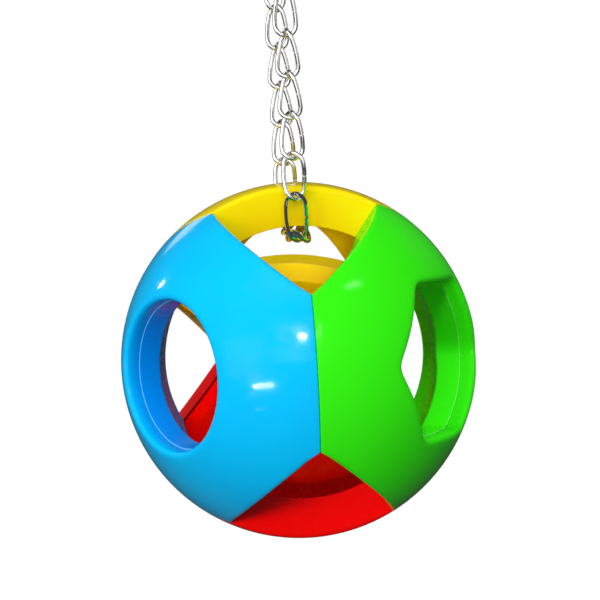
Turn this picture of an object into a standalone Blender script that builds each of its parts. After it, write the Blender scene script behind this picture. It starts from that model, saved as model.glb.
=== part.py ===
"""Hanging bird ball: four hollow coloured sectors in a tetrahedral ball, slung on a doubled chain.

The centre plane x = 0 holds the chain loop, the front of the ball is towards -Y, and the origin is
the point of the hanger ring that rests on a hook.
"""

import math

import bmesh
import bpy
from mathutils import Matrix, Vector

MM = 0.001
FIT_GAP = 0.3 * MM

# Ball sectors
BALL_RADIUS = 40.0 * MM
SECTOR_DEPTH = 8.6 * MM
PARTING_DEPTH = 3.6 * MM
SHELL_WALL = 1.8 * MM
GAP_WALL_TILT = math.radians(23.8)
GAP_WALL_OFFSET = 17.8 * MM
GAP_UNDERCUT = 0.33
GAP_EDGE_ROUND = 1.2 * MM
SEAM_EDGE_ROUND = 0.4 * MM
HOLE_EDGE_ROUND = 2.0 * MM
INNER_EDGE_ROUND = 1.0 * MM
WALL_END_ROUND = 0.6 * MM
LIP_HEIGHT = 1.0 * MM
LIP_WIDTH = 0.8 * MM
HALF_SIDE_STEPS = 3
OUTER_FACE_STEPS = 4
HIDDEN_FACE_STEPS = 2
CLOSED_FACE_STEPS = 8
WELD = 0.001 * MM
SHARP_ANGLE = math.radians(38.0)

# Holes through the sectors, as distances from the sector's axis
ROUND_HOLE_RADIUS = 16.0 * MM
HEXAGON_HOLE_FLAT = 16.4 * MM
TRIANGLE_HOLE_BASE = 12.0 * MM
CHAIN_PLAY = 0.9 * MM
CORNER_SHARPNESS = 20

# Snap tabs between neighbouring sectors
TAB_WIDTH = 8.0 * MM
TAB_THICKNESS = 1.4 * MM
TAB_REACH = 4.2 * MM
TAB_ROOT = 1.5 * MM

# Chain
LINK_WIRE = 1.0 * MM
LINK_LENGTH = 11.1 * MM
LINK_WIDTH = 5.5 * MM
LINK_TWIST = math.radians(90.0)
LINK_POINTS = 20
LINK_SIDES_RESOLUTION = 1
STRAND_LINKS = 7
STRAND_ROLL = math.radians(-40.0)

# Where the chain runs: the strands pass the yellow band and the sling links bear on its underside
STRAND_SETBACK = 4.4 * MM
SLING_DROP = 4.5 * MM
SLING_FRONT_STEP = Vector((0.5, -1.1, 0.85)) * MM
SLING_FRONT_RISE = math.radians(3.0)
SLING_REAR_X = 0.3 * MM
SLING_REAR_RISE = math.radians(11.0)
REAR_BEND_PLAY = 2.0 * MM
REAR_BEND_RISE = math.radians(38.0)
SLING_ROLL_RISE = 1.7 * MM
ROCK_AXIS_BACK = 7.2 * MM
ROCK_AXIS_RISE = 3.2 * MM

# Hanger ring
RING_WIRE = 1.8 * MM
RING_HALF_BAR = 21.0 * MM
RING_HEIGHT = 24.0 * MM
RING_CORNER = 2.2 * MM
RING_CORNER_POINTS = 5
RING_SIDES_RESOLUTION = 2

# Values that follow from the sizes above
INNER_RADIUS = BALL_RADIUS - SECTOR_DEPTH
PARTING_RADIUS = BALL_RADIUS - PARTING_DEPTH
LINER_FIT = SHELL_WALL + FIT_GAP
LINER_WALL = LINER_FIT + LIP_WIDTH
RIM_TOP = INNER_RADIUS + SHELL_WALL + LIP_HEIGHT
TAB_CENTRE_RADIUS = (RIM_TOP + BALL_RADIUS - SHELL_WALL) / 2.0
WIRE_SPACING = LINK_WIRE + FIT_GAP
LINK_SPAN = LINK_LENGTH - LINK_WIRE
LINK_PITCH = LINK_SPAN - WIRE_SPACING
FRONT_STRAND_Y = STRAND_SETBACK - GAP_WALL_OFFSET
LOWEST_WIRE_Z = INNER_RADIUS - SLING_DROP
TOP_WIRE_Z = LOWEST_WIRE_Z + LINK_SPAN + (STRAND_LINKS - 1) * LINK_PITCH

# Sectors point at the corners of a regular tetrahedron
SIDE = math.sqrt(2.0 / 3.0)
DEPTH = math.sqrt(1.0 / 3.0)
SEAM_TURN = math.radians(120.0)
HALF_SIDES_PER_THIRD = 4
DIRECTIONS = {
    "blue": Vector((-SIDE, -DEPTH, 0.0)),
    "green": Vector((SIDE, -DEPTH, 0.0)),
    "yellow": Vector((0.0, DEPTH, SIDE)),
    "red": Vector((0.0, DEPTH, -SIDE)),
}
FACING = {"blue": "green", "green": "blue", "yellow": "red", "red": "yellow"}

WORLD = {}


def clear_scene():
    for obj in list(bpy.data.objects):
        bpy.data.objects.remove(obj, do_unlink=True)


def make_material(name, colour, roughness, metallic):
    material = bpy.data.materials.new(name)
    material.use_nodes = True
    shader = material.node_tree.nodes["Principled BSDF"]
    shader.inputs["Base Color"].default_value = (*colour, 1.0)
    shader.inputs["Roughness"].default_value = roughness
    shader.inputs["Metallic"].default_value = metallic
    return material


def place(name, data, parent, world):
    """Adds an object, or an empty where there is no data, under its parent at this place in the world."""
    obj = bpy.data.objects.new(name, data)
    bpy.context.scene.collection.objects.link(obj)
    obj.parent = parent
    obj.matrix_local = WORLD[parent.name].inverted() @ world if parent else world
    WORLD[name] = world
    return obj


def hide_tool(obj):
    obj.hide_render = True
    obj.display_type = "WIRE"


def combine(obj, tool, operation):
    modifier = obj.modifiers.new(tool.name, "BOOLEAN")
    modifier.operation = operation
    modifier.solver = "EXACT"
    modifier.object = tool


# Holes: each gives its edge's distance from the sector's axis at an azimuth


def round_hole(azimuth):
    return ROUND_HOLE_RADIUS


def polygon_hole(flats):
    """A polygon with softened corners, from each side's azimuth and distance."""

    def edge(azimuth):
        total = 0.0
        for side_azimuth, distance in flats:
            total += max(0.0, math.cos(azimuth - side_azimuth) / distance) ** CORNER_SHARPNESS
        return total ** (-1.0 / CORNER_SHARPNESS)

    return edge


def regular_hole(sides, distance):
    """A regular polygon with a corner towards the facing seam."""
    turn = 2.0 * math.pi / sides
    return polygon_hole([((i + 0.5) * turn, distance) for i in range(sides)])


def triangle_hole(strand_y):
    """A triangle with its base towards the facing seam and its tip just wide enough for the rear strand."""
    strand = Vector((0.0, strand_y, math.sqrt(BALL_RADIUS**2 - strand_y**2)))
    towards_tip = strand.cross(DIRECTIONS["yellow"]).length
    half_width = LINK_WIDTH / 2.0 + CHAIN_PLAY
    flank = math.sin(SEAM_TURN) * half_width - math.cos(SEAM_TURN) * towards_tip
    return polygon_hole([(0.0, TRIANGLE_HOLE_BASE), (SEAM_TURN, flank), (-SEAM_TURN, flank)])


# Sector outline: three radial seams and three tilted walls round the open gaps, in the sector's own axes


def seam_plane(inset):
    return Vector((DEPTH, 0.0, -SIDE)), -FIT_GAP / 2.0 - inset


def gap_plane(radius, inset):
    half = SEAM_TURN / 2.0
    across = math.cos(GAP_WALL_TILT)
    normal = Vector((across * math.cos(half), across * math.sin(half), -math.sin(GAP_WALL_TILT)))
    return normal, GAP_WALL_OFFSET - GAP_UNDERCUT * (BALL_RADIUS - radius) - inset


def corner_azimuth(radius, inset):
    """Where a seam meets the next gap wall on a sphere."""
    first, first_offset = seam_plane(inset)
    second, second_offset = gap_plane(radius, inset)
    line = first.cross(second)
    foot = (first_offset * second.cross(line) + second_offset * line.cross(first)) / line.length_squared
    along = math.sqrt(radius * radius - foot.length_squared)
    corner = max((foot + line.normalized() * along * sign for sign in (1.0, -1.0)), key=lambda point: point.z)
    return math.atan2(corner.y, corner.x)


def outline_step(step, radius, inset):
    """The seam that the step's third of the outline starts from, the azimuth from it, and the half side."""
    corner = corner_azimuth(radius, inset)
    marks = (0.0, corner, SEAM_TURN / 2.0, SEAM_TURN - corner, SEAM_TURN)
    half_side, part = divmod(step, HALF_SIDE_STEPS)
    third, half_side = divmod(half_side, HALF_SIDES_PER_THIRD)
    start, end = marks[half_side : half_side + 2]
    return third * SEAM_TURN, start + (end - start) * part / HALF_SIDE_STEPS, half_side


def wall_point(step, radius, inset):
    """A point of the sector's outer walls on a sphere, the inset deep in the wall."""
    third, azimuth, half_side = outline_step(step, radius, inset)
    at_gap = half_side in (1, 2)
    normal, offset = gap_plane(radius, inset) if at_gap else seam_plane(inset)
    middle = SEAM_TURN / 2.0 if at_gap else round(azimuth / SEAM_TURN) * SEAM_TURN
    across = math.hypot(normal.x, normal.y) * math.cos(azimuth - middle)
    polar = math.asin(offset / (radius * math.hypot(across, normal.z))) - math.atan2(normal.z, across)
    return polar_point(radius, polar, third + azimuth)


def polar_point(radius, polar, azimuth):
    ring = radius * math.sin(polar)
    return Vector((ring * math.cos(azimuth), ring * math.sin(azimuth), radius * math.cos(polar)))


def hole_point(step, radius, inset, hole):
    """A point of the hole's wall on a sphere, the inset deep in the wall."""
    third, azimuth, _ = outline_step(step, PARTING_RADIUS, 0.0)
    azimuth += third
    return polar_point(radius, math.asin((hole(azimuth) + inset) / radius), azimuth)


def on_sphere(first, second, share):
    """A point on the arc between two points of a sphere about the ball's centre."""
    return first.lerp(second, share).normalized() * first.length


def outer_edge_round(step):
    """Tight at the seams, so that neighbours meet in a fine line, and wider at the open gaps."""
    gap_start = HALF_SIDE_STEPS
    gap_end = (HALF_SIDES_PER_THIRD - 1) * HALF_SIDE_STEPS
    inside_gap_side = gap_start < step % (HALF_SIDES_PER_THIRD * HALF_SIDE_STEPS) < gap_end
    return GAP_EDGE_ROUND if inside_gap_side else SEAM_EDGE_ROUND


def rounded_edge(face_end, edge, wall_start):
    return [face_end, (face_end + 2.0 * edge + wall_start) / 4.0, wall_start]


def outer_edge(step, start, radius, edge_inset, edge_round):
    """The rounded edge between a curved face, followed from its start, and the outer wall."""
    inward = -1.0 if radius == BALL_RADIUS else 1.0
    edge = wall_point(step, radius, edge_inset)
    end = on_sphere(edge, start, edge_round / (edge - start).length)
    return rounded_edge(end, edge, wall_point(step, radius + inward * edge_round, edge_inset))


def face_profile(step, hole, radius, edge_inset, hole_round, edge_round, steps):
    """From the hole's wall over its rounded edge and the curved face to the rounded outer wall."""
    inward = -1.0 if radius == BALL_RADIUS else 1.0
    rim = hole_point(step, radius, 0.0, hole)
    edge = wall_point(step, radius, edge_inset)
    start = on_sphere(rim, edge, hole_round / (edge - rim).length)
    outer = outer_edge(step, rim, radius, edge_inset, edge_round)
    profile = rounded_edge(start, rim, hole_point(step, radius + inward * hole_round, 0.0, hole))[::-1]
    profile += [on_sphere(start, outer[0], i / steps) for i in range(1, steps)]
    return profile + outer


def closed_face_profile(step, radius, edge_inset, edge_round):
    """From the sector's axis over the whole curved face to the rounded outer wall."""
    middle = Vector((0.0, 0.0, radius))
    outer = outer_edge(step, middle, radius, edge_inset, edge_round)
    return [on_sphere(middle, outer[0], i / CLOSED_FACE_STEPS) for i in range(CLOSED_FACE_STEPS)] + outer


def hidden_profile(step, hole, radius, inset):
    """The inside face of a wall, from the outer wall back to the hole, or to the axis where there is none."""
    edge = wall_point(step, radius, inset)
    rim = hole_point(step, radius, inset, hole) if hole else Vector((0.0, 0.0, radius))
    steps = HIDDEN_FACE_STEPS if hole else CLOSED_FACE_STEPS
    return [on_sphere(edge, rim, i / steps) for i in range(steps + 1)]


def shell_walls(step, hole):
    """The shell's outer wall to its full depth, and its inside."""
    return [
        wall_point(step, INNER_RADIUS + WALL_END_ROUND, 0.0),
        wall_point(step, INNER_RADIUS, WALL_END_ROUND),
        wall_point(step, INNER_RADIUS, SHELL_WALL),
        *hidden_profile(step, hole, BALL_RADIUS - SHELL_WALL, SHELL_WALL),
    ]


def liner_walls(step, hole):
    """The liner's rim inside the shell's outer wall, and its hidden face."""
    return [
        wall_point(step, RIM_TOP, LINER_FIT),
        wall_point(step, RIM_TOP, LINER_WALL),
        *hidden_profile(step, hole, INNER_RADIUS + SHELL_WALL, LINER_WALL),
    ]


def outer_profile(step, hole):
    """The shell: its face, and the hole's wall down to the parting line."""
    edge_round = outer_edge_round(step)
    if not hole:
        return closed_face_profile(step, BALL_RADIUS, 0.0, edge_round) + shell_walls(step, hole)
    return [
        hole_point(step, PARTING_RADIUS, 0.0, hole),
        *face_profile(step, hole, BALL_RADIUS, 0.0, HOLE_EDGE_ROUND, edge_round, OUTER_FACE_STEPS),
        *shell_walls(step, hole),
        hole_point(step, PARTING_RADIUS, SHELL_WALL, hole),
    ]


def liner_profile(step, hole):
    """The liner: an inner face, and the rest of the hole's wall with a lip behind the shell's."""
    if not hole:
        return closed_face_profile(step, INNER_RADIUS, LINER_FIT, WALL_END_ROUND) + liner_walls(step, hole)
    rounds = (INNER_EDGE_ROUND, WALL_END_ROUND)
    top = PARTING_RADIUS - FIT_GAP
    lip_top = PARTING_RADIUS + LIP_HEIGHT
    return [
        hole_point(step, top, 0.0, hole),
        *face_profile(step, hole, INNER_RADIUS, LINER_FIT, *rounds, HIDDEN_FACE_STEPS),
        *liner_walls(step, hole),
        hole_point(step, lip_top, LINER_WALL, hole),
        hole_point(step, lip_top, LINER_FIT, hole),
        hole_point(step, top, LINER_FIT, hole),
    ]


def ring_mesh(name, profiles, on_axis, material):
    """Closes a loop of profiles into one solid. Each profile is closed, or has both its ends on the axis."""
    builder = bmesh.new()
    rows = [[builder.verts.new(point) for point in profile] for profile in profiles]
    for row, next_row in zip(rows, rows[1:] + rows[:1]):
        for i in range(1 if on_axis else 0, len(row)):
            builder.faces.new((row[i - 1], row[i], next_row[i], next_row[i - 1]))
    bmesh.ops.remove_doubles(builder, verts=builder.verts, dist=WELD)
    bmesh.ops.recalc_face_normals(builder, faces=builder.faces)
    mesh = bpy.data.meshes.new(name)
    builder.to_mesh(mesh)
    builder.free()
    mesh.shade_smooth()
    mesh.set_sharp_from_angle(angle=SHARP_ANGLE)
    mesh.materials.append(material)
    return mesh


def sector_axes(colour):
    """Turns the sector's own axes to its place: Z along its direction and X towards the facing seam."""
    outward = DIRECTIONS[colour]
    facing = DIRECTIONS[FACING[colour]]
    across = (facing - outward * facing.dot(outward)).normalized()
    return Matrix((across, outward.cross(across), outward)).transposed().to_4x4()


def make_sector(colour, hole, material, rock_axis, centre):
    steps = range(3 * HALF_SIDES_PER_THIRD * HALF_SIDE_STEPS)
    world = centre @ sector_axes(colour)
    outer_rows = [outer_profile(step, hole) for step in steps]
    outer = ring_mesh(f"{colour}_outer_shell", outer_rows, not hole, material)
    liner_rows = [liner_profile(step, hole) for step in steps]
    liner = ring_mesh(f"{colour}_inner_liner", liner_rows, not hole, material)
    place(liner.name, liner, rock_axis, world)
    return place(outer.name, outer, rock_axis, world)


def tab_box(name, seam, start, end, clearance, rock_axis):
    """A block through a seam, from its start to its end along the seam's normal."""
    builder = bmesh.new()
    bmesh.ops.create_cube(builder, size=1.0)
    size = Vector((end - start, TAB_WIDTH + 2.0 * clearance, TAB_THICKNESS + 2.0 * clearance))
    middle = Vector(((start + end) / 2.0, 0.0, TAB_CENTRE_RADIUS))
    bmesh.ops.transform(builder, matrix=Matrix.LocRotScale(middle, None, size), verts=builder.verts)
    mesh = bpy.data.meshes.new(name)
    builder.to_mesh(mesh)
    builder.free()
    box = place(name, mesh, rock_axis, seam)
    hide_tool(box)
    return box


def join_sectors(shells, rock_axis, centre):
    """Gives each seam a tab on one shell that passes through a slot in the next."""
    colours = list(DIRECTIONS)
    for index, owner in enumerate(colours):
        for mate in colours[index + 1 :]:
            across = (DIRECTIONS[mate] - DIRECTIONS[owner]).normalized()
            outward = (DIRECTIONS[mate] + DIRECTIONS[owner]).normalized()
            seam = centre @ Matrix((across, outward.cross(across), outward)).transposed().to_4x4()
            tab = tab_box(f"tab_{owner}_{mate}", seam, -TAB_ROOT, TAB_REACH, 0.0, rock_axis)
            slot = tab_box(f"slot_{owner}_{mate}", seam, -TAB_ROOT, TAB_REACH + TAB_ROOT, FIT_GAP, rock_axis)
            combine(shells[owner], tab, "UNION")
            combine(shells[mate], slot, "DIFFERENCE")


# Chain


def wire_curve(name, points, wire, resolution, material):
    curve = bpy.data.curves.new(name, "CURVE")
    curve.dimensions = "3D"
    curve.bevel_depth = wire / 2.0
    curve.bevel_resolution = resolution
    spline = curve.splines.new("POLY")
    spline.points.add(len(points) - 1)
    for spot, point in zip(spline.points, points):
        spot.co = (*point, 1.0)
    spline.use_cyclic_u = True
    spline.use_smooth = True
    curve.materials.append(material)
    return curve


def link_points():
    """An oval twisted a quarter turn about its length, with its upper joint at the origin."""
    radius = (LINK_WIDTH - LINK_WIRE) / 2.0
    half_straight = LINK_SPAN / 2.0 - radius
    bend_points = LINK_POINTS // 2
    points = []
    for end in (1.0, -1.0):
        for i in range(bend_points):
            angle = math.pi * i / (bend_points - 1)
            across = end * radius * math.cos(angle)
            along = end * (half_straight + radius * math.sin(angle))
            turn = -LINK_TWIST / 2.0 * along / (LINK_SPAN / 2.0)
            drop = along + WIRE_SPACING / 2.0 - LINK_SPAN / 2.0
            points.append(Vector((across * math.cos(turn), across * math.sin(turn), drop)))
    return points


def centre_plane(point, distance, rise):
    """A point moved backwards, at a rise from level."""
    return point + distance * Vector((0.0, math.cos(rise), math.sin(rise)))


def far_wire(upper_wire, lean):
    """The middle of a link's lower wire, from its upper wire and its lean from straight down."""
    return centre_plane(upper_wire, LINK_SPAN, lean - math.pi / 2.0)


def add_link(name, link, parent, upper_wire, lean, centre, roll=0.0):
    """Hangs a link by the middle of its upper wire, rolled about its length."""
    joint = Matrix.Translation((0.0, 0.0, -WIRE_SPACING / 2.0))
    turn = Matrix.Rotation(lean, 4, "X") @ Matrix.Rotation(roll, 4, "Z")
    return place(name, link, parent, centre @ Matrix.Translation(upper_wire) @ turn @ joint)


def add_strand(name, link, parent, upper_wire, count, centre):
    """Straight links, each hung on the one above, that roll midway down. Returns the last."""
    for i in range(count):
        wire = upper_wire - Vector((0.0, 0.0, i * LINK_PITCH))
        roll = STRAND_ROLL * max(0.0, math.sin(math.pi * i / (STRAND_LINKS - 2)))
        parent = add_link(f"{name}_link_{i + 1}", link, parent, wire, 0.0, centre, roll)
    return parent


def rounded_corner(corner, before, after):
    """An arc that rounds a corner of the ring."""
    back = (before - corner).normalized()
    on = (after - corner).normalized()
    half = back.angle(on) / 2.0
    middle = corner + (back + on).normalized() * RING_CORNER / math.sin(half)
    reach = RING_CORNER / math.tan(half)
    start = (corner + back * reach - middle).normalized()
    end = (corner + on * reach - middle).normalized()
    shares = [i / (RING_CORNER_POINTS - 1) for i in range(RING_CORNER_POINTS)]
    return [middle + RING_CORNER * start.slerp(end, share) for share in shares]


def ring_points():
    """A rounded triangle in the centre plane, its bar level below and its tip resting on the origin."""
    bar_end = Vector((0.0, RING_HALF_BAR, -RING_HEIGHT))
    corners = [Vector(), bar_end, bar_end * Vector((1.0, -1.0, 1.0))]
    points = []
    for i, corner in enumerate(corners):
        points += rounded_corner(corner, corners[i - 1], corners[(i + 1) % len(corners)])
    tip = max(point.z for point in points)
    return [point + Vector((0.0, 0.0, RING_WIRE / 2.0 - tip)) for point in points]


def sling_wires():
    """Where the sling's links begin and end: front and rear upper wires, then the rear bend and its lean."""
    front = Vector((0.0, FRONT_STRAND_Y, LOWEST_WIRE_Z)) + SLING_FRONT_STEP
    middle = centre_plane(front, LINK_SPAN, SLING_FRONT_RISE)
    rear_start = centre_plane(middle, -WIRE_SPACING, (SLING_FRONT_RISE + SLING_REAR_RISE) / 2.0)
    rear_start.x = SLING_REAR_X
    rear = centre_plane(rear_start, LINK_SPAN, SLING_REAR_RISE)
    bend_wire = centre_plane(rear, -REAR_BEND_PLAY, REAR_BEND_RISE)
    bend_wire.x = 0.0
    bend_lean = -math.acos((LOWEST_WIRE_Z + LINK_SPAN - bend_wire.z) / LINK_SPAN)
    return front, rear, far_wire(bend_wire, math.pi + bend_lean), bend_lean


def make_chain(ring, link, centre):
    """Hangs both strands on the ring's bar and slings the last links under the band."""
    sling_front, sling_rear, rear_bend, bend_lean = sling_wires()
    front_top = Vector((0.0, FRONT_STRAND_Y, TOP_WIRE_Z))
    front = add_strand("front", link, ring, front_top, STRAND_LINKS, centre)
    roll_axis = centre @ Matrix.Translation((0.0, FRONT_STRAND_Y, LOWEST_WIRE_Z + SLING_ROLL_RISE))
    front_roll = place("front_roll_axis", None, front, roll_axis)
    add_link("sling_link_front", link, front_roll, sling_front, SLING_FRONT_RISE + math.pi / 2.0, centre)

    rear_top = Vector((0.0, rear_bend.y, TOP_WIRE_Z))
    rear = add_strand("rear", link, ring, rear_top, STRAND_LINKS - 1, centre)
    rear = add_link(f"rear_link_{STRAND_LINKS}", link, rear, rear_bend, bend_lean, centre)
    rear_roll = place("rear_roll_axis", None, rear, roll_axis)
    add_link("sling_link_rear", link, rear_roll, sling_rear, SLING_REAR_RISE - math.pi / 2.0, centre)
    return front_roll


def main():
    clear_scene()
    steel = make_material("bright_steel", (0.82, 0.83, 0.85), 0.16, 1.0)
    plastics = {
        "blue": make_material("blue_plastic", (0.0, 0.56, 1.0), 0.18, 0.0),
        "green": make_material("green_plastic", (0.06, 0.78, 0.01), 0.18, 0.0),
        "yellow": make_material("yellow_plastic", (0.95, 0.70, 0.0), 0.18, 0.0),
        "red": make_material("red_plastic", (0.80, 0.005, 0.005), 0.18, 0.0),
    }
    holes = {
        "blue": round_hole,
        "green": regular_hole(6, HEXAGON_HOLE_FLAT),
        "yellow": triangle_hole(sling_wires()[2].y),
        "red": None,
    }

    path = ring_points()
    ring_curve = wire_curve("hanger_ring", path, RING_WIRE, RING_SIDES_RESOLUTION, steel)
    ring = place("hanger_ring", ring_curve, None, Matrix.Identity(4))

    bar_z = min(point.z for point in path)
    on_bar = (LINK_WIRE + RING_WIRE) / 2.0 + FIT_GAP
    centre = Matrix.Translation((0.0, 0.0, bar_z + on_bar - TOP_WIRE_Z))
    link = wire_curve("chain_link", link_points(), LINK_WIRE, LINK_SIDES_RESOLUTION, steel)
    roll_axis = make_chain(ring, link, centre)

    rock_place = Vector((0.0, FRONT_STRAND_Y + ROCK_AXIS_BACK, LOWEST_WIRE_Z + ROCK_AXIS_RISE))
    rock_axis = centre @ Matrix.Translation(rock_place)
    rock = place("rock_axis", None, roll_axis, rock_axis)
    shells = {}
    for colour, hole in holes.items():
        shells[colour] = make_sector(colour, hole, plastics[colour], rock, centre)
    join_sectors(shells, rock, centre)


main()
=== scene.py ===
"""Looks of the hanging bird ball: glossy moulded sectors, bright twisted links, soft light and the camera."""

import math

import bmesh
import bpy
from mathutils import Matrix, Vector


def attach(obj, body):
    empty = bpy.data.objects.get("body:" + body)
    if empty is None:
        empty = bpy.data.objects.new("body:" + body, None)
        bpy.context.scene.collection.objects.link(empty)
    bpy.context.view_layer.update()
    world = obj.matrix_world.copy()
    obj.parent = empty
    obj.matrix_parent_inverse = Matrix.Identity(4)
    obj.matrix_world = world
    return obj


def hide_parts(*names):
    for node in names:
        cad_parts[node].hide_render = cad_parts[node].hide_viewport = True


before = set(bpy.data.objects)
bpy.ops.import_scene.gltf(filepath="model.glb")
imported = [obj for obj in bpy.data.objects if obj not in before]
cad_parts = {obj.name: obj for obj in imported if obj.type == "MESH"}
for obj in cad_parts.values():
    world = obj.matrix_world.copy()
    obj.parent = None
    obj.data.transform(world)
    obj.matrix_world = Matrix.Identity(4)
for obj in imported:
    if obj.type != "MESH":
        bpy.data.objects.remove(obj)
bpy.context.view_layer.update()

MM = 0.001
FIT_GAP = 0.3 * MM

# Ball sectors, as in the solids
BALL_RADIUS = 40.0 * MM
SECTOR_DEPTH = 8.6 * MM
PARTING_DEPTH = 3.6 * MM
SHELL_WALL = 1.8 * MM
GAP_WALL_TILT = math.radians(23.8)
GAP_WALL_OFFSET = 17.8 * MM
GAP_UNDERCUT = 0.33
LIP_HEIGHT = 1.0 * MM
LIP_WIDTH = 0.8 * MM
ROUND_HOLE_RADIUS = 16.0 * MM
HEXAGON_SIDES = 6
HEXAGON_HOLE_FLAT = 16.4 * MM
TRIANGLE_HOLE_BASE = 12.0 * MM
CHAIN_PLAY = 0.9 * MM
CORNER_SHARPNESS = 20

# Finer edges and closer joints than the solids have
SEAM_LINE = 0.06 * MM
LINER_LINE = 0.04 * MM
PARTING_LINE = 0.01 * MM
PARTING_STEP = 0.2 * MM
GAP_EDGE_ROUND = 1.2 * MM
SEAM_EDGE_ROUND = 0.3 * MM
HOLE_EDGE_ROUND = 2.0 * MM
INNER_EDGE_ROUND = 0.4 * MM
WALL_END = 0.4 * MM
WALL_END_ROUND = 0.15 * MM
PARTING_EDGE_ROUND = 0.15 * MM
EDGE_BLEND = math.radians(5.0)
HALF_SIDE_STEPS = 14
FACE_STEPS = 18
EDGE_STEPS = 6
HIDDEN_STEPS = 3
CLOSED_STEPS = 30
WELD = 0.001 * MM
SHARP_ANGLE = math.radians(35.0)

# Chain and hanger ring, as in the solids
LINK_WIRE = 1.0 * MM
LINK_LENGTH = 11.1 * MM
LINK_WIDTH = 5.5 * MM
LINK_TWIST = math.radians(90.0)
STRAND_LINKS = 7
STRAND_ROLL = math.radians(-40.0)
STRAND_SETBACK = 4.4 * MM
SLING_DROP = 4.5 * MM
SLING_FRONT_STEP = Vector((0.5, -1.1, 0.85)) * MM
SLING_FRONT_RISE = math.radians(3.0)
SLING_REAR_X = 0.3 * MM
SLING_REAR_RISE = math.radians(11.0)
REAR_BEND_PLAY = 2.0 * MM
REAR_BEND_RISE = math.radians(38.0)
RING_WIRE = 1.8 * MM
RING_HALF_BAR = 21.0 * MM
RING_HEIGHT = 24.0 * MM
RING_CORNER = 2.2 * MM

# Finer wire than the solids have, with a butt joint in each piece
BOW_STEPS = 28
LEG_STEPS = 10
WIRE_SIDES = 16
BUTT_GAP = 0.1 * MM
BUTT_BEVEL = 0.12 * MM

# Values that follow from the sizes above
INNER_RADIUS = BALL_RADIUS - SECTOR_DEPTH
PARTING_RADIUS = BALL_RADIUS - PARTING_DEPTH
FACE_RADIUS = BALL_RADIUS - GAP_EDGE_ROUND
LINER_FIT = SHELL_WALL + LINER_LINE
LINER_EDGE = WALL_END + WALL_END_ROUND + LINER_LINE
LINER_WALL = LINER_FIT + LIP_WIDTH
MITRE_TOP = INNER_RADIUS + SHELL_WALL
RIM_TOP = INNER_RADIUS + SHELL_WALL + LIP_HEIGHT
LIP_TOP = PARTING_RADIUS + LIP_HEIGHT
WIRE_SPACING = LINK_WIRE + FIT_GAP
LINK_SPAN = LINK_LENGTH - LINK_WIRE
LINK_PITCH = LINK_SPAN - WIRE_SPACING
FRONT_STRAND_Y = STRAND_SETBACK - GAP_WALL_OFFSET
LOWEST_WIRE_Z = INNER_RADIUS - SLING_DROP
TOP_WIRE_Z = LOWEST_WIRE_Z + LINK_SPAN + (STRAND_LINKS - 1) * LINK_PITCH

# Camera, from the photograph
IMAGE_SIZE = 600
FOCAL_PIXELS = 1450.0
SENSOR = 36.0
CAMERA_FROM_BALL = Vector((-29.5, -326.1, 28.3)) * MM
CAMERA_RIGHT = Vector((0.99378, -0.09557, -0.05713))
CAMERA_UP = Vector((0.06118, 0.03994, 0.99733))
CAMERA_CLIP = (0.01, 50.0)

# Plastics: name, colour at the face, a painted colour of shade and bounce light for the recesses inside the
# ball, and the depth at which the second is reached
PLASTICS = {
    "blue": ("sky_blue", (0.0, 0.55, 1.0), (0.0, 0.30, 1.0), PARTING_DEPTH),
    "green": ("leaf_green", (0.035, 0.90, 0.005), (0.035, 0.94, 0.005), SECTOR_DEPTH),
    "yellow": ("sun_yellow", (0.97, 0.76, 0.0), (0.98, 0.63, 0.0), SECTOR_DEPTH),
    "red": ("poppy_red", (0.76, 0.0, 0.0), (0.72, 0.0, 0.0), SECTOR_DEPTH),
}
FACE_SHINE = 0.5
FACE_ROUGHNESS = 0.10
INSIDE_SHINE = 0.12
INSIDE_ROUGHNESS = 0.24
# Paleness of the painted highlight along the parting edge
PARTING_HIGHLIGHT_PALENESS = 0.15
FACE_FINISH, INSIDE_FINISH, PARTING_HIGHLIGHT_FINISH = range(3)

# Patterns in the plastic: scale and detail, the part of the pattern that shows, and what it does
CLOUDS = (60.0, 3.0)
CLOUD_PART = (0.3, 0.7)
CLOUD_SHARE = 0.12
SCUFFS = (420.0, 4.0)
SCUFF_PART = (0.45, 0.75)
SCUFF_STRETCH = (1.0, 0.25, 1.6)
SCUFF_ROUGHNESS = 0.09
RIPPLE = (140.0, 1.0)
RIPPLE_STRENGTH = 0.16
RIPPLE_HEIGHT = 0.6 * MM
GRAIN = (2600.0, 2.0)
GRAIN_STRENGTH = 0.06
GRAIN_HEIGHT = 0.05 * MM

# Plated steel, with its patterns in the same way
PLATING_BRIGHT = (0.90, 0.89, 0.87)
PLATING_GREY = (0.76, 0.75, 0.73)
SPOTS = (700.0, 4.0)
SPOT_PART = (0.4, 0.7)
DULLNESS = (1500.0, 3.0)
DULLNESS_PART = (0.35, 0.75)
DULLNESS_ROUGHNESS = (0.07, 0.24)
DRAWN_LINES = (3000.0, 2.0)
DRAWN_STRETCH = (1.0, 1.0, 0.1)
DRAWN_STRENGTH = 0.06
DRAWN_HEIGHT = 0.05 * MM

# Room and floor
WHITE = (1.0, 1.0, 1.0, 1.0)
BRIGHT_SIDE = Vector((-0.60, -0.60, 0.53)).normalized()
BRIGHT_SPREAD = (-0.45, 1.0)
ROOM_LIGHT = 0.62
ROOM_SHADE = 0.04
ROOM_IN_GLOSS = 0.05
FLOOR_HALF_SIZE = 8.0
FLOOR_DROP = 350.0 * MM
FLOOR_COLOUR = (0.9, 0.9, 0.9, 1.0)
FLOOR_ROUGHNESS = 0.8
FLOOR_GLOW = 0.1
SHADOW_FADE = (0.4, 0.9)

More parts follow.
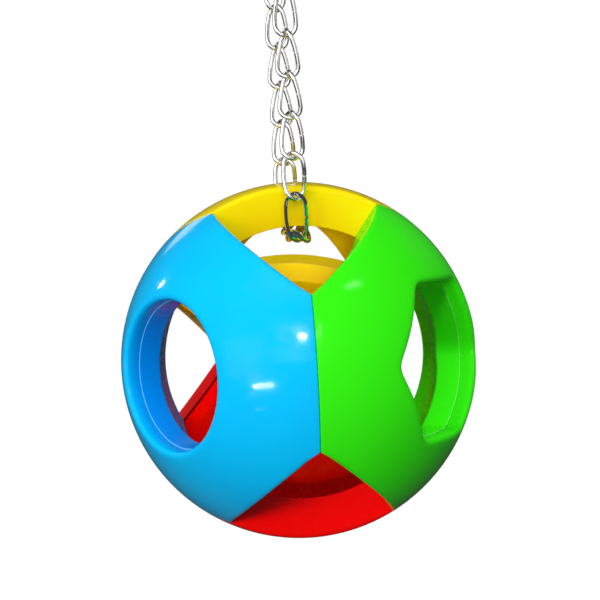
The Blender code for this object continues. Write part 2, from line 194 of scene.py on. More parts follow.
# Softboxes: name, direction, side, level, and the pieces that they don't light
SOFTBOX_DISTANCE = 1.5
FRONT_LINERS = ("red_liner", "blue_liner", "green_liner")
SOFTBOXES = (
    ("key_softbox", (-0.10, -0.50, 0.86), 0.9, 0.31, ("red_liner",)),
    ("front_softbox", (-0.12, -0.95, 0.27), 0.6, 0.40, ("red_shell", "red_liner", "green_liner")),
    ("left_softbox", (-0.62, -0.77, 0.12), 0.6, 0.24, ("red_liner", "green_liner")),
    ("back_softbox", (0.45, 0.85, 0.30), 0.9, 0.50, FRONT_LINERS),
    ("low_back_softbox", (-0.30, 0.70, -0.65), 0.9, 0.25, FRONT_LINERS),
)

# Fills: name, direction, side, level, and the only piece that they light
FILLS = (
    ("band_fill", (-0.42, -0.87, 0.22), 0.30, 0.74, "red_shell"),
    ("bowl_fill", (-0.09, -0.99, -0.03), 0.05, 0.64, "red_liner"),
    ("hole_fill", (0.74, -0.65, 0.17), 0.30, 0.64, "red_liner"),
    ("gap_fill", (-0.45, 0.10, 0.89), 0.30, 0.60, "red_shell"),
    ("wall_fill", (0.02, -0.80, 0.60), 0.30, 0.55, "green_liner"),
    ("side_fill", (0.70, 0.50, 0.50), 0.30, 0.20, "green_shell"),
    ("roof_fill", (-0.09, -0.99, 0.0), 0.30, 0.85, "yellow_liner"),
)

# Glints: name, direction, width, height, radiance, and the pieces that they show in
GLINT_DISTANCE = 0.9
GLINTS = (
    ("seam_glint", (-0.040, -0.948, 0.314), 0.07, 0.05, 60.0, ("blue_shell", "green_shell")),
    ("streak_glint", (-0.457, -0.873, -0.168), 0.19, 0.02, 50.0, ("blue_shell",)),
    ("low_streak_glint", (-0.467, -0.774, -0.393), 0.12, 0.02, 10.0, ("blue_shell",)),
    ("left_glint", (-0.720, 0.538, 0.437), 0.02, 0.05, 40.0, ("blue_shell",)),
    ("green_glint", (0.494, -0.534, 0.704), 0.16, 0.03, 6.0, ("green_shell",)),
    ("green_strip", (0.135, -0.918, 0.372), 0.03, 0.12, 6.0, ("green_shell",)),
    ("rim_strip", (-0.294, 0.843, 0.422), 0.20, 0.16, 1.2, ("blue_shell",)),
)

# Pale cards that the chain mirrors: name, direction, side and radiance
CARD_DISTANCE = 0.8
CHAIN_CARDS = (
    ("chain_front_card", (-0.10, -1.0, 0.10), 1.2, 1.25),
    ("chain_left_card", (-0.90, -0.60, 0.40), 1.0, 1.8),
    ("chain_right_card", (0.90, -0.40, 0.30), 0.8, 0.6),
    ("chain_back_card", (0.20, 1.0, 0.15), 1.2, 0.9),
)

# Sectors point at the corners of a regular tetrahedron
SIDE = math.sqrt(2.0 / 3.0)
DEPTH = math.sqrt(1.0 / 3.0)
SEAM_TURN = math.radians(120.0)
THIRDS = 3
HALF_SIDES_PER_THIRD = 4
GAP_HALF_SIDES = (1, 2)
DIRECTIONS = {
    "blue": Vector((-SIDE, -DEPTH, 0.0)),
    "green": Vector((SIDE, -DEPTH, 0.0)),
    "yellow": Vector((0.0, DEPTH, SIDE)),
    "red": Vector((0.0, DEPTH, -SIDE)),
}
FACING = {"blue": "green", "green": "blue", "yellow": "red", "red": "yellow"}


# Holes: each gives its edge's distance from the sector's axis at an azimuth


def round_hole(azimuth):
    return ROUND_HOLE_RADIUS


def polygon_hole(flats):
    def edge(azimuth):
        total = 0.0
        for side_azimuth, distance in flats:
            total += max(0.0, math.cos(azimuth - side_azimuth) / distance) ** CORNER_SHARPNESS
        return total ** (-1.0 / CORNER_SHARPNESS)

    return edge


def regular_hole(sides, distance):
    turn = 2.0 * math.pi / sides
    return polygon_hole([((i + 0.5) * turn, distance) for i in range(sides)])


def triangle_hole(strand_y):
    """A triangle with its base towards the facing seam and its tip just wide enough for the rear strand."""
    strand = Vector((0.0, strand_y, math.sqrt(BALL_RADIUS**2 - strand_y**2)))
    towards_tip = strand.cross(DIRECTIONS["yellow"]).length
    half_width = LINK_WIDTH / 2.0 + CHAIN_PLAY
    flank = math.sin(SEAM_TURN) * half_width - math.cos(SEAM_TURN) * towards_tip
    return polygon_hole([(0.0, TRIANGLE_HOLE_BASE), (SEAM_TURN, flank), (-SEAM_TURN, flank)])


# Sector outline, in the sector's own axes


def seam_plane(inset):
    return Vector((DEPTH, 0.0, -SIDE)), -SEAM_LINE / 2.0 - inset


def gap_plane(radius, inset):
    half = SEAM_TURN / 2.0
    across = math.cos(GAP_WALL_TILT)
    normal = Vector((across * math.cos(half), across * math.sin(half), -math.sin(GAP_WALL_TILT)))
    return normal, GAP_WALL_OFFSET - GAP_UNDERCUT * (BALL_RADIUS - radius) - inset


def corner_azimuth(radius, inset):
    """Where a seam meets the next gap wall on a sphere."""
    first, first_offset = seam_plane(inset)
    second, second_offset = gap_plane(radius, inset)
    line = first.cross(second)
    foot = (first_offset * second.cross(line) + second_offset * line.cross(first)) / line.length_squared
    along = math.sqrt(radius * radius - foot.length_squared)
    ends = [foot + line.normalized() * along * sign for sign in (1.0, -1.0)]
    corner = max(ends, key=lambda point: point.z)
    return math.atan2(corner.y, corner.x)


def outline_step(step, radius, inset):
    """The start of the step's third of the outline, the azimuth from there, and the half side."""
    corner = corner_azimuth(radius, inset)
    marks = (0.0, corner, SEAM_TURN / 2.0, SEAM_TURN - corner, SEAM_TURN)
    half_side, part = divmod(step, HALF_SIDE_STEPS)
    third, half_side = divmod(half_side, HALF_SIDES_PER_THIRD)
    start, end = marks[half_side : half_side + 2]
    return third * SEAM_TURN, start + (end - start) * part / HALF_SIDE_STEPS, half_side


def polar_point(radius, polar, azimuth):
    ring = radius * math.sin(polar)
    return Vector((ring * math.cos(azimuth), ring * math.sin(azimuth), radius * math.cos(polar)))


def wall_point(step, radius, inset=0.0):
    """A point of the sector's outer walls on a sphere, the inset deep in the wall."""
    third, azimuth, half_side = outline_step(step, radius, inset)
    at_gap = half_side in GAP_HALF_SIDES
    normal, offset = gap_plane(radius, inset) if at_gap else seam_plane(inset)
    middle = SEAM_TURN / 2.0 if at_gap else round(azimuth / SEAM_TURN) * SEAM_TURN
    across = math.hypot(normal.x, normal.y) * math.cos(azimuth - middle)
    polar = math.asin(offset / (radius * math.hypot(across, normal.z))) - math.atan2(normal.z, across)
    return polar_point(radius, polar, third + azimuth)


def hole_point(step, hole, radius, inset=0.0):
    """A point of the hole's wall on a sphere, the inset deep in the wall."""
    third, azimuth, _ = outline_step(step, PARTING_RADIUS, 0.0)
    azimuth += third
    return polar_point(radius, math.asin((hole(azimuth) + inset) / radius), azimuth)


def on_sphere(first, second, share):
    return first.lerp(second, share).normalized() * first.length


def outer_edge_round(step):
    """Tight at the seams, so that neighbours meet in a fine line, and wider along the open gaps."""
    _, azimuth, half_side = outline_step(step, BALL_RADIUS, 0.0)
    if half_side not in GAP_HALF_SIDES:
        return SEAM_EDGE_ROUND
    corner = corner_azimuth(BALL_RADIUS, 0.0)
    inside = min(azimuth - corner, SEAM_TURN - corner - azimuth)
    share = min(1.0, inside / EDGE_BLEND)
    return SEAM_EDGE_ROUND + (GAP_EDGE_ROUND - SEAM_EDGE_ROUND) * share * share * (3.0 - 2.0 * share)


def rounded(start, corner, end):
    """Points of a curve that rounds a corner off."""
    points = []
    for i in range(EDGE_STEPS + 1):
        share = i / EDGE_STEPS
        points.append(start.lerp(corner, share).lerp(corner.lerp(end, share), share))
    return points


def outer_edge(step, start, radius, edge_inset, edge_round):
    """The rounded edge between a curved face, followed from its start, and the outer wall."""
    inward = -1.0 if radius == BALL_RADIUS else 1.0
    edge = wall_point(step, radius, edge_inset)
    end = on_sphere(edge, start, edge_round / (edge - start).length)
    return rounded(end, edge, wall_point(step, radius + inward * edge_round, edge_inset))


def face_profile(step, hole, radius, edge_inset, hole_round, edge_round):
    """From the hole's wall over its rounded edge and the curved face to the rounded outer wall."""
    inward = -1.0 if radius == BALL_RADIUS else 1.0
    rim = hole_point(step, hole, radius)
    edge = wall_point(step, radius, edge_inset)
    start = on_sphere(rim, edge, hole_round / (edge - rim).length)
    outer = outer_edge(step, rim, radius, edge_inset, edge_round)
    profile = rounded(hole_point(step, hole, radius + inward * hole_round), rim, start)
    profile += [on_sphere(start, outer[0], i / FACE_STEPS) for i in range(1, FACE_STEPS)]
    return profile + outer


def closed_face_profile(step, radius, edge_inset, edge_round):
    """From the sector's axis over the whole curved face to the rounded outer wall."""
    middle = Vector((0.0, 0.0, radius))
    outer = outer_edge(step, middle, radius, edge_inset, edge_round)
    return [on_sphere(middle, outer[0], i / CLOSED_STEPS) for i in range(CLOSED_STEPS)] + outer


def hidden_profile(step, hole, radius, inset):
    """The inside face of a wall, from the outer wall back to the hole, or to the axis where there is none."""
    edge = wall_point(step, radius, inset)
    rim = hole_point(step, hole, radius, inset) if hole else Vector((0.0, 0.0, radius))
    steps = HIDDEN_STEPS if hole else CLOSED_STEPS
    return [on_sphere(edge, rim, i / steps) for i in range(steps + 1)]


def parting_edge(step, hole, radius, away):
    """The softened edge of the hole's wall at the parting line, from the wall to the hidden face."""
    wall = hole_point(step, hole, radius + away * PARTING_EDGE_ROUND)
    hidden = hole_point(step, hole, radius, PARTING_EDGE_ROUND)
    return rounded(wall, hole_point(step, hole, radius), hidden)


def shell_walls(step, hole):
    """The shell's outer wall to its full depth, mitred at its end, and its inside."""
    wall_end = wall_point(step, INNER_RADIUS + WALL_END_ROUND)
    return [
        *rounded(wall_end, wall_point(step, INNER_RADIUS), wall_point(step, INNER_RADIUS, WALL_END_ROUND)),
        wall_point(step, INNER_RADIUS, WALL_END),
        wall_point(step, MITRE_TOP, SHELL_WALL),
        *hidden_profile(step, hole, BALL_RADIUS - SHELL_WALL, SHELL_WALL),
    ]


def liner_walls(step, hole):
    """The liner's mitre and rim inside the shell's outer wall, and its hidden face."""
    return [
        wall_point(step, MITRE_TOP, LINER_FIT),
        wall_point(step, RIM_TOP, LINER_FIT),
        wall_point(step, RIM_TOP, LINER_WALL),
        *hidden_profile(step, hole, INNER_RADIUS + SHELL_WALL, LINER_WALL),
    ]


def shell_profile(step, hole):
    """The shell: its face, and the hole's wall down to the parting line."""
    edge_round = outer_edge_round(step)
    if not hole:
        return closed_face_profile(step, BALL_RADIUS, 0.0, edge_round) + shell_walls(step, hole)
    return [
        *reversed(parting_edge(step, hole, PARTING_RADIUS, 1.0)),
        *face_profile(step, hole, BALL_RADIUS, 0.0, HOLE_EDGE_ROUND, edge_round),
        *shell_walls(step, hole),
        hole_point(step, hole, PARTING_RADIUS, SHELL_WALL),
    ]


def liner_profile(step, hole):
    """The liner: an inner face, and the rest of the hole's wall with a lip behind the shell's."""
    if not hole:
        return closed_face_profile(step, INNER_RADIUS, LINER_EDGE, WALL_END_ROUND) + liner_walls(step, hole)
    top = PARTING_RADIUS - PARTING_LINE

    def proud(azimuth):
        return hole(azimuth) - PARTING_STEP

    return [
        *reversed(parting_edge(step, proud, top, -1.0)),
        *face_profile(step, proud, INNER_RADIUS, LINER_EDGE, INNER_EDGE_ROUND, WALL_END_ROUND),
        *liner_walls(step, hole),
        hole_point(step, hole, LIP_TOP, LINER_WALL),
        hole_point(step, hole, LIP_TOP, LINER_FIT),
        hole_point(step, hole, top, LINER_FIT),
    ]


def sector_axes(colour, centre):
    """Turns the sector's own axes to its place: Z along its direction and X towards the facing seam."""
    outward = DIRECTIONS[colour]
    facing = DIRECTIONS[FACING[colour]]
    across = (facing - outward * facing.dot(outward)).normalized()
    turn = Matrix((across, outward.cross(across), outward)).transposed().to_4x4()
    return Matrix.Translation(centre) @ turn


# Meshes


def skin_loop(rows, on_axis):
    """A skin over a loop of profiles. Each profile is closed, or has both its ends on the axis."""
    builder = bmesh.new()
    rows = [[builder.verts.new(point) for point in row] for row in rows]
    for row, next_row in zip(rows, rows[1:] + rows[:1]):
        for i in range(1 if on_axis else 0, len(row)):
            builder.faces.new((row[i - 1], row[i], next_row[i], next_row[i - 1]))
    bmesh.ops.remove_doubles(builder, verts=builder.verts, dist=WELD)
    return builder


def skin_tube(rows):
    """A skin over a row of closed profiles, capped at both ends."""
    builder = bmesh.new()
    rows = [[builder.verts.new(point) for point in row] for row in rows]
    for row, next_row in zip(rows, rows[1:]):
        for i in range(len(row)):
            builder.faces.new((row[i - 1], row[i], next_row[i], next_row[i - 1]))
    builder.faces.new(rows[0])
    builder.faces.new(rows[-1])
    return builder


def piece_from(name, builder, place, materials):
    bmesh.ops.transform(builder, matrix=place, verts=builder.verts)
    bmesh.ops.recalc_face_normals(builder, faces=builder.faces)
    mesh = bpy.data.meshes.new(name)
    builder.to_mesh(mesh)
    builder.free()
    mesh.shade_smooth()
    mesh.set_sharp_from_angle(angle=SHARP_ANGLE)
    for material in materials:
        mesh.materials.append(material)
    piece = bpy.data.objects.new(name, mesh)
    bpy.context.scene.collection.objects.link(piece)
    return piece


def stand_for(piece, node, body):
    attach(piece, body)
    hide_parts(node)


def wire_rows(path, wire):
    """Rings round an open path, bevelled where its two ends meet in a butt joint."""
    rows = []
    normal = (path[1] - path[0]).orthogonal().normalized()
    for i, point in enumerate(path):
        before = path[max(i - 1, 0)]
        after = path[min(i + 1, len(path) - 1)]
        tangent = (after - before).normalized()
        normal = (normal - tangent * normal.dot(tangent)).normalized()
        side = tangent.cross(normal)
        at_end = i in (0, len(path) - 1)
        radius = wire / 2.0 - (BUTT_BEVEL if at_end else 0.0)
        turns = [2.0 * math.pi * k / WIRE_SIDES for k in range(WIRE_SIDES)]
        rows.append([point + radius * (math.cos(a) * normal + math.sin(a) * side) for a in turns])
    return rows


def with_butt_ends(path):
    """Opens a closed path at its first point by the butt gap, with a short step at each end for the bevel."""
    ends = []
    for end, inner in ((path[0], path[1]), (path[-1], path[-2])):
        along = (inner - end).normalized()
        ends.append([end + along * BUTT_GAP / 2.0, end + along * (BUTT_GAP / 2.0 + BUTT_BEVEL)])
    return [*ends[0], *path[1:-1], *reversed(ends[1])]


# Chain


def link_path():
    """An oval twisted a quarter turn about its length, from the middle of one leg round to it again."""
    radius = (LINK_WIDTH - LINK_WIRE) / 2.0
    half_straight = LINK_SPAN / 2.0 - radius
    oval = [(radius, -half_straight * i / LEG_STEPS) for i in range(LEG_STEPS)]
    for end in (-1.0, 1.0):
        for i in range(BOW_STEPS + 1):
            angle = math.pi * i / BOW_STEPS
            oval.append((-end * radius * math.cos(angle), end * (half_straight + radius * math.sin(angle))))
        if end < 0.0:
            legs = range(1, 2 * LEG_STEPS)
            oval += [(-radius, half_straight * (i / LEG_STEPS - 1.0)) for i in legs]
    oval += [(radius, half_straight * (1.0 - i / LEG_STEPS)) for i in range(1, LEG_STEPS + 1)]
    points = []
    for across, along in oval:
        turn = -LINK_TWIST / 2.0 * along / (LINK_SPAN / 2.0)
        drop = along + WIRE_SPACING / 2.0 - LINK_SPAN / 2.0
        points.append(Vector((across * math.cos(turn), across * math.sin(turn), drop)))
    return with_butt_ends(points)


def link_place(upper_wire, lean, roll=0.0):
    """Hangs a link by the middle of its upper wire, rolled about its length."""
    joint = Matrix.Translation((0.0, 0.0, -WIRE_SPACING / 2.0))
    turn = Matrix.Rotation(lean, 4, "X") @ Matrix.Rotation(roll, 4, "Z")
    return Matrix.Translation(upper_wire) @ turn @ joint


def centre_plane(point, distance, rise):
    """A point moved backwards, at a rise from level."""
    return point + distance * Vector((0.0, math.cos(rise), math.sin(rise)))


def sling_wires():
    """Where the sling's links begin and end: front and rear upper wires, then the rear bend and its lean."""
    front = Vector((0.0, FRONT_STRAND_Y, LOWEST_WIRE_Z)) + SLING_FRONT_STEP
    middle = centre_plane(front, LINK_SPAN, SLING_FRONT_RISE)
    rear_start = centre_plane(middle, -WIRE_SPACING, (SLING_FRONT_RISE + SLING_REAR_RISE) / 2.0)
    rear_start.x = SLING_REAR_X
    rear = centre_plane(rear_start, LINK_SPAN, SLING_REAR_RISE)
    bend_wire = centre_plane(rear, -REAR_BEND_PLAY, REAR_BEND_RISE)
    bend_wire.x = 0.0
    bend_lean = -math.acos((LOWEST_WIRE_Z + LINK_SPAN - bend_wire.z) / LINK_SPAN)
    return front, rear, centre_plane(bend_wire, LINK_SPAN, bend_lean + math.pi / 2.0), bend_lean


def link_places():
    """Each link's place by its body, from the ball's centre."""
    sling_front, sling_rear, rear_bend, bend_lean = sling_wires()
    places = {}
    for name, y, count in (("front", FRONT_STRAND_Y, STRAND_LINKS), ("rear", rear_bend.y, STRAND_LINKS - 1)):
        for i in range(count):
            roll = STRAND_ROLL * max(0.0, math.sin(math.pi * i / (STRAND_LINKS - 2)))
            places[f"{name}_{i + 1}"] = link_place(Vector((0.0, y, TOP_WIRE_Z - i * LINK_PITCH)), 0.0, roll)
    places[f"rear_{STRAND_LINKS}"] = link_place(rear_bend, bend_lean)
    places["sling_front"] = link_place(sling_front, SLING_FRONT_RISE + math.pi / 2.0)
    places["sling_rear"] = link_place(sling_rear, SLING_REAR_RISE - math.pi / 2.0)
    return places


def rounded_corner(corner, before, after):
    back = (before - corner).normalized()
    on = (after - corner).normalized()
    half = back.angle(on) / 2.0
    middle = corner + (back + on).normalized() * RING_CORNER / math.sin(half)
    reach = RING_CORNER / math.tan(half)
    start = (corner + back * reach - middle).normalized()
    end = (corner + on * reach - middle).normalized()
    return [middle + RING_CORNER * start.slerp(end, i / BOW_STEPS) for i in range(BOW_STEPS + 1)]


def ring_path():
    """A rounded triangle from the middle of its bar round to it again, with its tip resting on the origin."""
    bar_end = Vector((0.0, RING_HALF_BAR, -RING_HEIGHT))
    bar_start = bar_end * Vector((1.0, -1.0, 1.0))
    corners = [bar_end, Vector(), bar_start]
    bar_middle = (bar_start + bar_end) / 2.0
    points = [bar_middle]
    for i, corner in enumerate(corners):
        points += rounded_corner(corner, corners[i - 1], corners[(i + 1) % len(corners)])
    points.append(bar_middle)
    tip = max(point.z for point in points)
    return [point + Vector((0.0, 0.0, RING_WIRE / 2.0 - tip)) for point in points]


def ball_centre():
    """Where the chain hangs the ball's centre from the ring's bar."""
    on_bar = (LINK_WIRE + RING_WIRE) / 2.0 + FIT_GAP
    return Vector((0.0, 0.0, min(point.z for point in ring_path()) + on_bar - TOP_WIRE_Z))


# Materials


def new_material(name):
    material = bpy.data.materials.new(name)
    material.use_nodes = True
    return material, material.node_tree, material.node_tree.nodes["Principled BSDF"]


def noise(tree, scale, detail, stretch=(1.0, 1.0, 1.0)):
    """A noise pattern fixed to the piece."""
    place = tree.nodes.new("ShaderNodeTexCoord")
    mapping = tree.nodes.new("ShaderNodeMapping")
    pattern = tree.nodes.new("ShaderNodeTexNoise")
    mapping.inputs["Scale"].default_value = stretch
    pattern.inputs["Scale"].default_value = scale
    pattern.inputs["Detail"].default_value = detail
    tree.links.new(place.outputs["Object"], mapping.inputs["Vector"])
    tree.links.new(mapping.outputs["Vector"], pattern.inputs["Vector"])
    return pattern.outputs["Fac"]


def spread(tree, value, start, end, low, high):
    """Turns the part of a pattern between start and end into values from low to high."""
    node = tree.nodes.new("ShaderNodeMapRange")
    node.inputs["From Min"].default_value = start
    node.inputs["From Max"].default_value = end
    node.inputs["To Min"].default_value = low
    node.inputs["To Max"].default_value = high
    tree.links.new(value, node.inputs["Value"])
    return node.outputs["Result"]


def joined(tree, operation, first, second):
    """Two values put together by a math operation."""
    node = tree.nodes.new("ShaderNodeMath")
    node.operation = operation
    tree.links.new(first, node.inputs[0])
    tree.links.new(second, node.inputs[1])
    return node.outputs["Value"]


def blended_colour(tree, share, first, second):
    node = tree.nodes.new("ShaderNodeMix")
    node.data_type = "RGBA"
    node.inputs["A"].default_value = (*first, 1.0)
    node.inputs["B"].default_value = (*second, 1.0)
    factor, = [socket for socket in node.inputs if socket.name == "Factor" and socket.type == "VALUE"]
    tree.links.new(share, factor)
    return [socket for socket in node.outputs if socket.type == "RGBA"][0]


def bump(tree, height, strength, distance, under=None):
    node = tree.nodes.new("ShaderNodeBump")
    node.inputs["Strength"].default_value = strength
    node.inputs["Distance"].default_value = distance
    tree.links.new(height, node.inputs["Height"])
    if under:
        tree.links.new(under, node.inputs["Normal"])
    return node.outputs["Normal"]


def plastic(name, colour, deep, depth, shine, roughness):
    """Moulded plastic, whose colour turns from the face down to a depth in the ball to a painted colour of
    shade and bounce light.

    It has faint flow clouds, handling scuffs in the gloss and a slight ripple in the skin.
    """
    material, tree, shader = new_material(name)
    reach = tree.nodes.new("ShaderNodeVectorMath")
    reach.operation = "DISTANCE"
    reach.inputs[1].default_value = ball_centre()
    tree.links.new(tree.nodes.new("ShaderNodeTexCoord").outputs["Object"], reach.inputs[0])
    # Painted shade and bounce light: the colour turns to the second colour with depth in the ball, where the
    # recesses lie in shade
    inside = spread(tree, reach.outputs["Value"], BALL_RADIUS - depth, BALL_RADIUS, 1.0, 0.0)
    clouds = spread(tree, noise(tree, *CLOUDS), *CLOUD_PART, 0.0, CLOUD_SHARE)
    share = joined(tree, "MAXIMUM", inside, clouds)
    tree.links.new(blended_colour(tree, share, colour, deep), shader.inputs["Base Color"])
    scuffs = noise(tree, *SCUFFS, SCUFF_STRETCH)
    dullness = spread(tree, scuffs, *SCUFF_PART, roughness, roughness + SCUFF_ROUGHNESS)
    tree.links.new(dullness, shader.inputs["Roughness"])
    ripple = bump(tree, noise(tree, *RIPPLE), RIPPLE_STRENGTH * shine, RIPPLE_HEIGHT)
    grain = bump(tree, noise(tree, *GRAIN), GRAIN_STRENGTH * shine, GRAIN_HEIGHT, ripple)
    tree.links.new(grain, shader.inputs["Normal"])
    shader.inputs["Specular IOR Level"].default_value = shine
    return material


def plastics(name, colour, deep, depth):
    """A sector's finishes: polished on its face, duller inside, and paler along the parting edge as a painted
    highlight.
    """
    # The paler colour is a painted highlight along the parting edge
    pale = [value + (1.0 - value) * PARTING_HIGHLIGHT_PALENESS for value in colour]
    return (
        plastic(f"{name}_plastic", colour, deep, depth, FACE_SHINE, FACE_ROUGHNESS),
        plastic(f"{name}_inside", colour, deep, depth, INSIDE_SHINE, INSIDE_ROUGHNESS),
        plastic(f"{name}_parting", pale, pale, depth, INSIDE_SHINE, INSIDE_ROUGHNESS),
    )


def finish_of(face):
    """Which of a sector's finishes a face has, by its place in the ball."""
    radius = face.calc_center_median().length
    if radius >= FACE_RADIUS:
        return FACE_FINISH
    below_parting = PARTING_RADIUS - PARTING_LINE - radius
    return PARTING_HIGHLIGHT_FINISH if 0.0 < below_parting < PARTING_EDGE_ROUND else INSIDE_FINISH


def bright_steel():
    """Plated wire: bright, with drawn lines, dull spots and a little grey in the plating."""
    material, tree, shader = new_material("plated_steel")
    spots = spread(tree, noise(tree, *SPOTS), *SPOT_PART, 0.0, 1.0)
    plating = blended_colour(tree, spots, PLATING_BRIGHT, PLATING_GREY)
    tree.links.new(plating, shader.inputs["Base Color"])
    dullness = spread(tree, noise(tree, *DULLNESS), *DULLNESS_PART, *DULLNESS_ROUGHNESS)
    tree.links.new(dullness, shader.inputs["Roughness"])
    drawn = noise(tree, *DRAWN_LINES, DRAWN_STRETCH)
    tree.links.new(bump(tree, drawn, DRAWN_STRENGTH, DRAWN_HEIGHT), shader.inputs["Normal"])
    shader.inputs["Metallic"].default_value = 1.0
    return material


# Stage


def blended_shader(tree, share, first, second):
    node = tree.nodes.new("ShaderNodeMixShader")
    tree.links.new(share, node.inputs["Fac"])
    tree.links.new(first, node.inputs[1])
    tree.links.new(second, node.inputs[2])
    return node.outputs["Shader"]


def background(tree, strength):
    node = tree.nodes.new("ShaderNodeBackground")
    node.inputs["Color"].default_value = WHITE
    node.inputs["Strength"].default_value = strength
    return node


def light_room():
    """A room that is white to the camera, dim in the gloss, and lights the ball mostly from one side."""
    world = bpy.data.worlds.new("room")
    bpy.context.scene.world = world
    world.use_nodes = True
    tree = world.node_tree
    tree.nodes.remove(tree.nodes["Background"])
    white = background(tree, 1.0)
    mirrored = background(tree, ROOM_IN_GLOSS)
    soft = background(tree, ROOM_LIGHT)
    direction = tree.nodes.new("ShaderNodeTexCoord")
    facing = tree.nodes.new("ShaderNodeVectorMath")
    facing.operation = "DOT_PRODUCT"
    facing.inputs[1].default_value = BRIGHT_SIDE
    tree.links.new(direction.outputs["Generated"], facing.inputs[0])
    level = spread(tree, facing.outputs["Value"], *BRIGHT_SPREAD, ROOM_SHADE, ROOM_LIGHT)
    tree.links.new(level, soft.inputs["Strength"])
    path = tree.nodes.new("ShaderNodeLightPath")
    sides = [node.outputs["Background"] for node in (soft, mirrored, white)]
    inside = blended_shader(tree, path.outputs["Is Glossy Ray"], sides[0], sides[1])
    seen = blended_shader(tree, path.outputs["Is Camera Ray"], inside, sides[2])
    tree.links.new(seen, tree.nodes["World Output"].inputs["Surface"])


def lay_floor():
    """A pale floor that keeps the shadow under the ball and is plain white further off."""
    builder = bmesh.new()
    bmesh.ops.create_grid(builder, x_segments=1, y_segments=1, size=FLOOR_HALF_SIZE)
    mesh = bpy.data.meshes.new("floor")
    builder.to_mesh(mesh)
    builder.free()
    material, tree, shader = new_material("pale_floor")
    shader.inputs["Base Color"].default_value = FLOOR_COLOUR
    shader.inputs["Roughness"].default_value = FLOOR_ROUGHNESS
    shader.inputs["Emission Color"].default_value = WHITE
    shader.inputs["Emission Strength"].default_value = FLOOR_GLOW
    white = tree.nodes.new("ShaderNodeEmission")
    distance = tree.nodes.new("ShaderNodeVectorMath")
    distance.operation = "LENGTH"
    place = tree.nodes.new("ShaderNodeTexCoord")
    tree.links.new(place.outputs["Object"], distance.inputs[0])
    far = spread(tree, distance.outputs["Value"], *SHADOW_FADE, 0.0, 1.0)
    path = tree.nodes.new("ShaderNodeLightPath")
    far_seen = joined(tree, "MULTIPLY", far, path.outputs["Is Camera Ray"])
    surface = blended_shader(tree, far_seen, shader.outputs["BSDF"], white.outputs["Emission"])
    tree.links.new(surface, tree.nodes["Material Output"].inputs["Surface"])
    mesh.materials.append(material)
    floor = bpy.data.objects.new("floor", mesh)
    floor.location = ball_centre() - Vector((0.0, 0.0, FLOOR_DROP))
    floor.visible_diffuse = False
    floor.visible_glossy = False
    bpy.context.scene.collection.objects.link(floor)


def add_lamp(name, direction, distance, width, height, power):
    """A rectangular lamp at a distance from the ball, turned towards it and hidden from the camera."""
    lamp = bpy.data.lights.new(name, "AREA")
    lamp.shape = "RECTANGLE"
    lamp.size = width
    lamp.size_y = height
    lamp.energy = power
    towards = Vector(direction).normalized()
    obj = bpy.data.objects.new(name, lamp)
    obj.location = ball_centre() + towards * distance
    obj.rotation_euler = towards.to_track_quat("Z", "Y").to_euler()
    obj.visible_camera = False
    bpy.context.scene.collection.objects.link(obj)
    return obj


def soft_lamp(name, direction, side, level):
    """A softbox that brings a white surface facing it to this level, and doesn't show in the gloss."""
    power = level * (math.pi * SOFTBOX_DISTANCE) ** 2
    lamp = add_lamp(name, direction, SOFTBOX_DISTANCE, side, side, power)
    lamp.visible_glossy = False
    return lamp


def keep_on(lamp, pieces):
    """Lets a lamp light these pieces only."""
    group = bpy.data.collections.new(lamp.name)
    for piece in pieces:
        group.objects.link(piece)
    lamp.light_linking.receiver_collection = group
    return group


def keep_off(lamp, pieces):
    """Lets a lamp light everything but these pieces."""
    for member in keep_on(lamp, pieces).collection_objects:
        member.light_linking.link_state = "EXCLUDE"


def glint(pieces, name, direction, distance, width, height, radiance):
    """A lamp that only shows as a highlight in the gloss of these pieces."""
    lamp = add_lamp(name, direction, distance, width, height, radiance * math.pi * width * height)
    lamp.visible_diffuse = False
    keep_on(lamp, pieces)


def light_object(ball_pieces, open_chain):
    for name, direction, side, level, unlit in SOFTBOXES:
        keep_off(soft_lamp(name, direction, side, level), [ball_pieces[piece] for piece in unlit])
    for name, direction, side, level, piece in FILLS:
        keep_on(soft_lamp(name, direction, side, level), [ball_pieces[piece]])
    for name, direction, width, height, radiance, shown_in in GLINTS:
        pieces = [ball_pieces[piece] for piece in shown_in]
        glint(pieces, name, direction, GLINT_DISTANCE, width, height, radiance)
    for name, direction, side, radiance in CHAIN_CARDS:
        glint(open_chain, name, direction, CARD_DISTANCE, side, side, radiance)


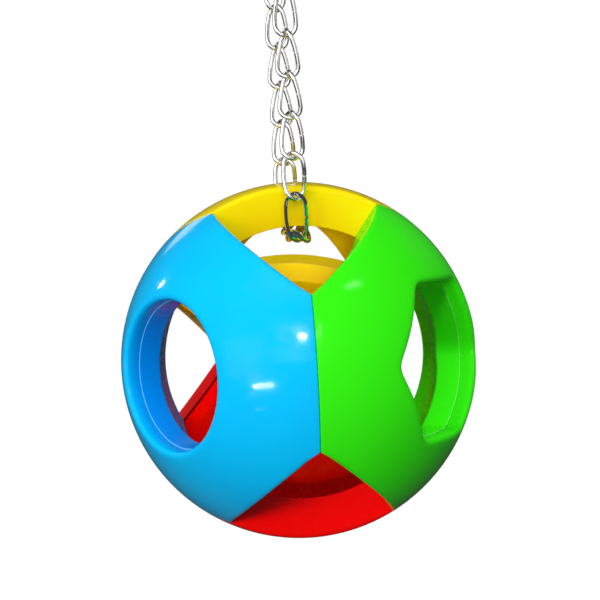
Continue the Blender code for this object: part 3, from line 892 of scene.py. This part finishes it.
def place_camera():
    data = bpy.data.cameras.new("camera")
    data.sensor_width = SENSOR
    data.lens = FOCAL_PIXELS * SENSOR / IMAGE_SIZE
    data.clip_start, data.clip_end = CAMERA_CLIP
    camera = bpy.data.objects.new("camera", data)
    back = CAMERA_RIGHT.cross(CAMERA_UP)
    turn = Matrix((CAMERA_RIGHT, CAMERA_UP, back)).transposed().to_4x4()
    camera.matrix_world = Matrix.Translation(ball_centre() + CAMERA_FROM_BALL) @ turn
    bpy.context.scene.collection.objects.link(camera)
    bpy.context.scene.camera = camera


def dress_ball():
    """Makes the sectors, and returns their pieces by name."""
    finishes = {colour: plastics(*values) for colour, values in PLASTICS.items()}
    holes = {
        "blue": round_hole,
        "green": regular_hole(HEXAGON_SIDES, HEXAGON_HOLE_FLAT),
        "yellow": triangle_hole(sling_wires()[2].y),
        "red": None,
    }
    steps = range(THIRDS * HALF_SIDES_PER_THIRD * HALF_SIDE_STEPS)
    sectors = {}
    for colour, hole in holes.items():
        place = sector_axes(colour, ball_centre())
        for part, node, profile in (
            ("shell", "outer_shell", shell_profile),
            ("liner", "inner_liner", liner_profile),
        ):
            builder = skin_loop([profile(step, hole) for step in steps], not hole)
            for face in builder.faces:
                face.material_index = finish_of(face)
            piece = piece_from(f"{colour}_{part}", builder, place, finishes[colour])
            stand_for(piece, f"{colour}_{node}", "ball")
            sectors[piece.name] = piece
    return sectors


def dress_chain():
    """Makes the chain and the ring, and returns the pieces that hang clear of the ball."""
    steel = bright_steel()
    rows = wire_rows(link_path(), LINK_WIRE)
    hang = Matrix.Translation(ball_centre())
    ring_rows = wire_rows(with_butt_ends(ring_path()), RING_WIRE)
    ring = piece_from("hanger_wire", skin_tube(ring_rows), Matrix.Identity(4), [steel])
    stand_for(ring, "hanger_ring", "hanger")
    clear = [ring]
    for body, place in link_places().items():
        strand, number = body.split("_")
        piece = piece_from(f"{body}_wire", skin_tube(rows), hang @ place, [steel])
        stand_for(piece, f"{strand}_link_{number}", body)
        if strand != "sling" and number != str(STRAND_LINKS):
            clear.append(piece)
    return clear


bpy.context.scene.view_settings.view_transform = "Standard"
place_camera()
ball_pieces = dress_ball()
open_chain = dress_chain()
light_room()
lay_floor()
light_object(ball_pieces, open_chain)
